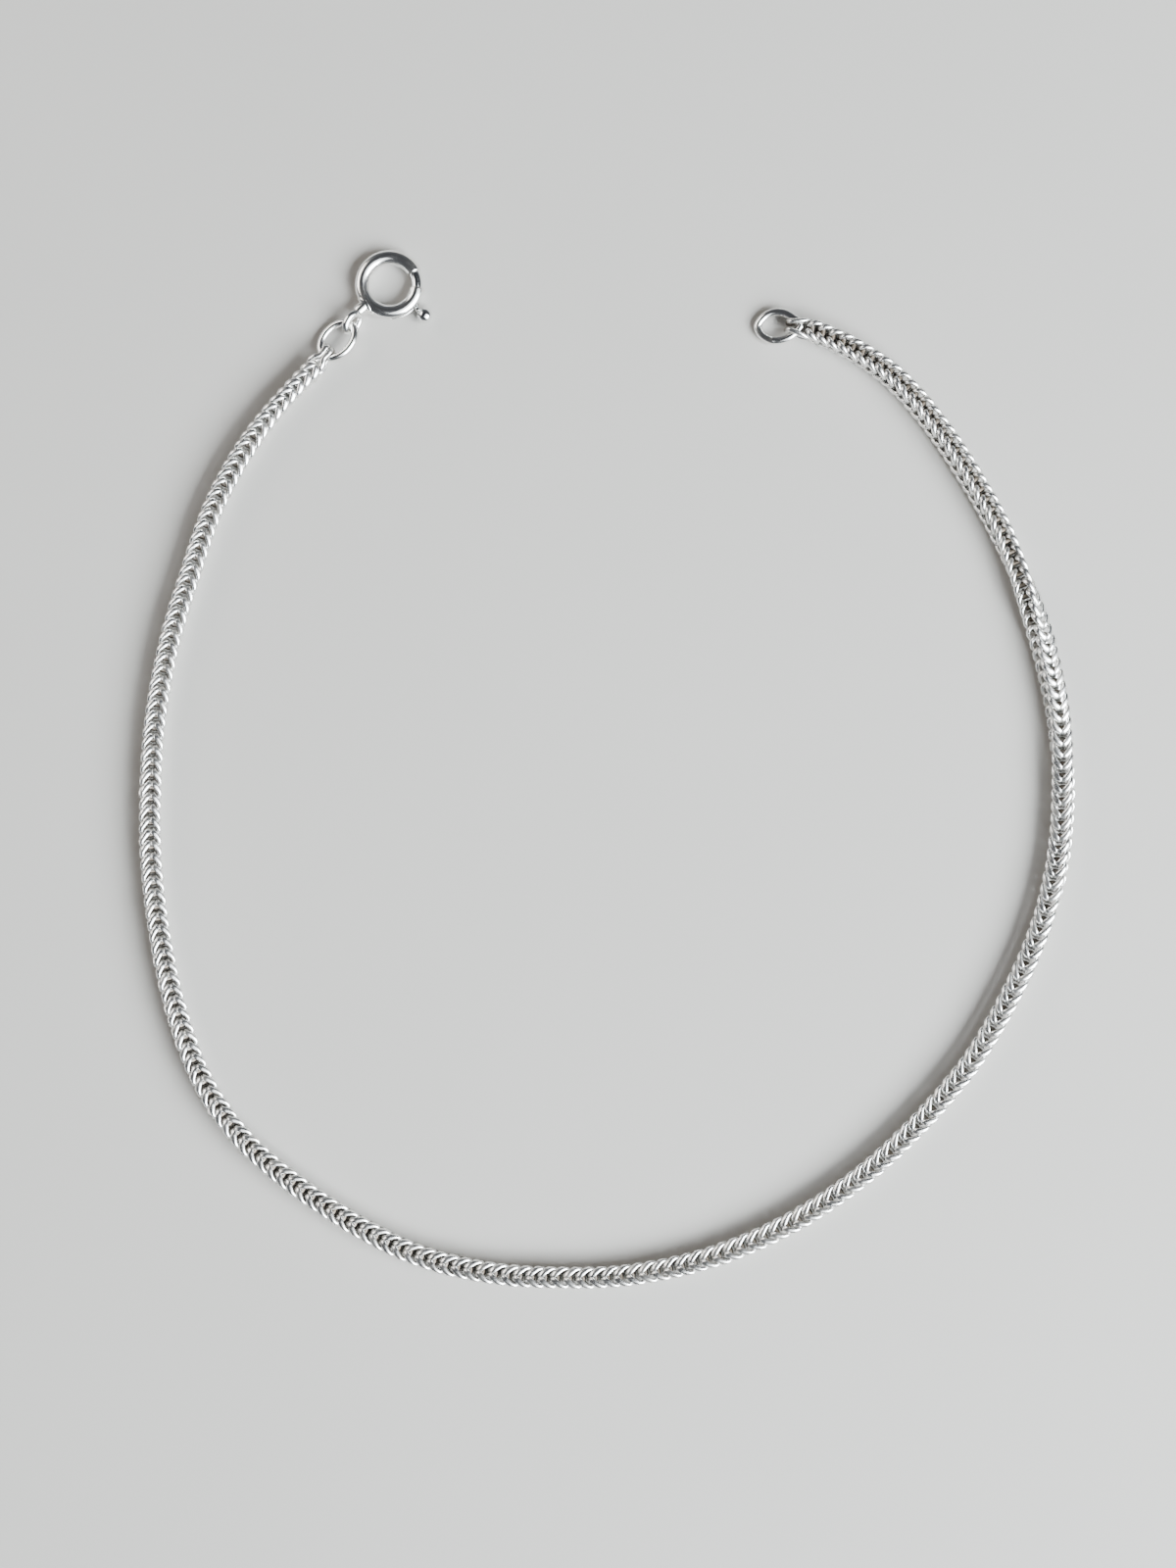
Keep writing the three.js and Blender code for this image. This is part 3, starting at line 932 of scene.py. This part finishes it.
class BRACELET_OT_rings(bpy.types.Operator):
    """Bends the jump ring at the clasp and the ring at the far end"""

    bl_idname = "bracelet.rings"
    bl_label = "Bend the jump rings"

    def execute(self, context):
        scene = context.scene
        sizes = scene.bracelet_rings
        finish = scene.bracelet_finish
        material = silver_material("ring_silver", finish, finish.clasp_roughness, RING_PATCH)
        wire = sizes.clasp_wire
        path = oval_path(sizes.clasp_length - wire, sizes.clasp_width - wire, RING_STEPS)
        turn = Matrix.Rotation(math.radians(CLASP_RING_HEADING), 4, "Z")
        turn = turn @ Matrix.Rotation(math.radians(CLASP_RING_TILT), 4, "X")
        path = moved(path, Matrix.Translation(CLASP_RING_CENTRE) @ turn)
        vertices, faces = wire_mesh(path, wire / 2, RING_SIDES, closed=True)
        ring = add_piece("clasp_ring_wire", vertices, faces, material, BRACELET_BODY)
        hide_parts("clasp_jump_ring")

        outline = np.array(END_RING_OUTLINE)
        share = (outline[:, 0] - END_RING_LOW_X) / (END_RING_TIP_X - END_RING_LOW_X)
        height = sizes.end_wire / 2 + END_RING_TIP_RISE * share
        curve = smooth_curve(np.column_stack([outline, height]), closed=True)
        path = even_points(curve, RING_STEPS, closed=True)
        from_seam = np.linalg.norm(path[:, :2] - np.array(END_RING_SEAM), axis=1)
        swell = 1 + SEAM_SWELL * np.exp(-((from_seam / SEAM_REACH) ** 2))
        vertices, faces = wire_mesh(path, sizes.end_wire / 2 * swell, RING_SIDES, closed=True)
        ring = add_piece("end_ring_wire", vertices, faces, material, BRACELET_BODY)
        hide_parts("end_jump_ring")
        return {"FINISHED"}


class BRACELET_OT_clasp(bpy.types.Operator):
    """Makes the clasp's hollow ring, its collar and its eyelet"""

    bl_idname = "bracelet.clasp"
    bl_label = "Make the clasp"

    def execute(self, context):
        scene = context.scene
        clasp = scene.bracelet_clasp
        finish = scene.bracelet_finish
        material = silver_material("clasp_silver", finish, finish.clasp_roughness, CLASP_PATCH)
        axes = clasp_matrix()
        vertices, faces = tube_shell(clasp)
        ring = add_piece("clasp_tube", moved(vertices, axes), faces, material, BRACELET_BODY)
        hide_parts("spring_ring")

        half = clasp.collar / 2
        profile = [(half * at.width, COLLAR_LENGTH * at.reach) for at in COLLAR_PROFILE]
        vertices, faces = lathe_mesh(profile, TURNED_SIDES)
        place = Matrix.Translation((0.0, 0.0, COLLAR_RISE)) @ facing_matrix(COLLAR_ANGLE, COLLAR_START)
        add_piece("clasp_collar", moved(vertices, axes @ place), faces, material, BRACELET_BODY)
        vertices, faces = saddle_mesh(clasp)
        add_piece("clasp_saddle", moved(vertices, axes), faces, material, BRACELET_BODY)

        wire = clasp.eyelet_wire
        path = oval_path(clasp.eyelet_length - wire, clasp.eyelet_width - wire, RING_STEPS)
        split = int(RING_STEPS * EYELET_SPLIT / 360)
        path = np.roll(path, -split, axis=0)
        place = Matrix.Rotation(math.radians(COLLAR_ANGLE), 4, "Z")
        place = place @ Matrix.Translation((EYELET_ROOT, 0.0, 0.0))
        place = place @ Matrix.Rotation(math.radians(EYELET_HEADING - COLLAR_ANGLE), 4, "Z")
        place = place @ Matrix.Rotation(math.pi / 2 + math.radians(EYELET_LEAN), 4, "X")
        path = moved(path + np.array((EYELET_REACH, 0.0, 0.0)), axes @ place)
        vertices, faces = wire_mesh(path, wire / 2, RING_SIDES, closed=False)
        add_piece("clasp_eyelet", vertices, faces, material, BRACELET_BODY)
        return {"FINISHED"}


class BRACELET_OT_bolt(bpy.types.Operator):
    """Makes the sliding bolt and its trigger"""

    bl_idname = "bracelet.bolt"
    bl_label = "Make the bolt"

    def execute(self, context):
        scene = context.scene
        clasp = scene.bracelet_clasp
        material = bpy.data.materials["clasp_silver"]
        axes = clasp_matrix()
        ring = (clasp.diameter - clasp.tube) / 2
        path = clasp_arc(ring, BOLT_TAIL, BOLT_TIP)
        vertices, faces = wire_mesh(path, clasp.bolt / 2, RING_SIDES, closed=False)
        bolt = add_piece("clasp_bolt", moved(vertices, axes), faces, material, BOLT_BODY)
        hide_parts("spring_bolt")

        neck = clasp.neck / 2
        ball = clasp.knob / 2
        rise = clasp.reach - ring
        start = math.asin(neck / ball * NECK_FILLET)
        profile = [(0.0, 0.0), (neck, 0.0), (neck, rise - ball * NECK_END)]
        for angle in np.linspace(start, math.pi, KNOB_STEPS)[:-1]:
            profile.append((ball * math.sin(angle), rise - ball * math.cos(angle)))
        profile.append((0.0, rise + ball))
        vertices, faces = lathe_mesh(profile, TURNED_SIDES)
        vertices = moved(vertices, axes @ facing_matrix(TRIGGER_ANGLE, ring))
        add_piece("clasp_trigger", vertices, faces, material, BOLT_BODY)
        return {"FINISHED"}


class BRACELET_OT_stage(bpy.types.Operator):
    """Lays the floor and sets the lights and the camera"""

    bl_idname = "bracelet.stage"
    bl_label = "Set the stage"

    def execute(self, context):
        scene = context.scene
        stage = scene.bracelet_stage
        half = FLOOR_HALF
        mesh = bpy.data.meshes.new("floor")
        corners = [(-half, -half, 0.0), (half, -half, 0.0), (half, half, 0.0), (-half, half, 0.0)]
        mesh.from_pydata(corners, [], [(0, 1, 2, 3)])
        mesh.materials.append(floor_material(stage.floor))
        floor = bpy.data.objects.new("floor", mesh)
        scene.collection.objects.link(floor)

        self.add_light("key_light", KEY_PLACE, KEY_SIZE, stage.key_power, KEY_COLOUR)
        panel = self.add_light("panel", PANEL_PLACE, PANEL_SIZE, stage.panel_power, PANEL_COLOUR)
        panel.visible_diffuse = False
        self.add_light("fill_light", FILL_PLACE, FILL_SIZE, stage.fill_power, FILL_COLOUR)
        self.add_sky(scene, stage.sky)
        self.add_camera(scene, stage.lens)
        return {"FINISHED"}

    def add_light(self, name, place, size, power, colour):
        light = bpy.data.lights.new(name, "AREA")
        light.shape = "RECTANGLE"
        light.size, light.size_y = size
        light.energy = power
        light.color = colour
        lamp = bpy.data.objects.new(name, light)
        lamp.location = place
        lamp.rotation_mode = "QUATERNION"
        lamp.rotation_quaternion = Vector(place).to_track_quat("Z", "Y")
        lamp.visible_camera = False
        bpy.context.scene.collection.objects.link(lamp)
        return lamp

    def add_sky(self, scene, strength):
        world = bpy.data.worlds.new("studio")
        world.use_nodes = True
        scene.world = world
        shader = Shader(world.node_tree)
        direction = shader.node("ShaderNodeTexCoord").out("Generated")
        height = shader.node("ShaderNodeSeparateXYZ", {}, {0: direction}).out("Z")
        stops = [(0.0, SKY_LOW), (0.35, SKY_MIDDLE), (0.8, SKY_HIGH), (1.0, SKY_HIGH)]
        colour = shader.node("ShaderNodeValToRGB", {"stops": stops}, {"Fac": height}).out("Color")
        light = shader.node("ShaderNodeBackground", {}, {"Color": colour, "Strength": strength}).out()
        shader.node("ShaderNodeOutputWorld", {}, {"Surface": light})

    def add_camera(self, scene, lens):
        data = bpy.data.cameras.new("camera")
        data.lens = lens
        data.sensor_width = SENSOR_WIDTH
        data.clip_start = CLIP_START
        camera = bpy.data.objects.new("camera", data)
        height = FIELD_HEIGHT * lens / SENSOR_WIDTH + cad_high.z / 2
        camera.location = (CAMERA_X, CAMERA_Y, height)
        scene.collection.objects.link(camera)
        scene.camera = camera


class BRACELET_PT_panel(bpy.types.Panel):
    """Lists the bracelet's operators and their settings"""

    bl_idname = "BRACELET_PT_panel"
    bl_label = "Foxtail chain bracelet"
    bl_space_type = "VIEW_3D"
    bl_region_type = "UI"
    bl_category = "Bracelet"

    def draw(self, context):
        layout = self.layout
        scene = context.scene
        for operator in OPERATORS:
            layout.operator(operator.bl_idname)
        for group in GROUPS:
            settings = getattr(scene, group)
            box = layout.box()
            for name in settings.__annotations__:
                box.prop(settings, name)


OPERATORS = (BRACELET_OT_chain, BRACELET_OT_rings, BRACELET_OT_clasp, BRACELET_OT_bolt, BRACELET_OT_stage)
GROUPS = {
    "bracelet_chain": BRACELET_PG_chain,
    "bracelet_rings": BRACELET_PG_rings,
    "bracelet_clasp": BRACELET_PG_clasp,
    "bracelet_finish": BRACELET_PG_finish,
    "bracelet_stage": BRACELET_PG_stage,
}
CLASSES = (*GROUPS.values(), *OPERATORS, BRACELET_PT_panel)


def register():
    for kind in CLASSES:
        bpy.utils.register_class(kind)
    for name, group in GROUPS.items():
        setattr(bpy.types.Scene, name, bpy.props.PointerProperty(type=group))


def unregister():
    for name in GROUPS:
        delattr(bpy.types.Scene, name)
    for kind in reversed(CLASSES):
        bpy.utils.unregister_class(kind)


def main():
    register()
    bpy.ops.bracelet.stage()
    bpy.ops.bracelet.chain()
    bpy.ops.bracelet.rings()
    bpy.ops.bracelet.clasp()
    bpy.ops.bracelet.bolt()


if __name__ == "__main__":
    main()
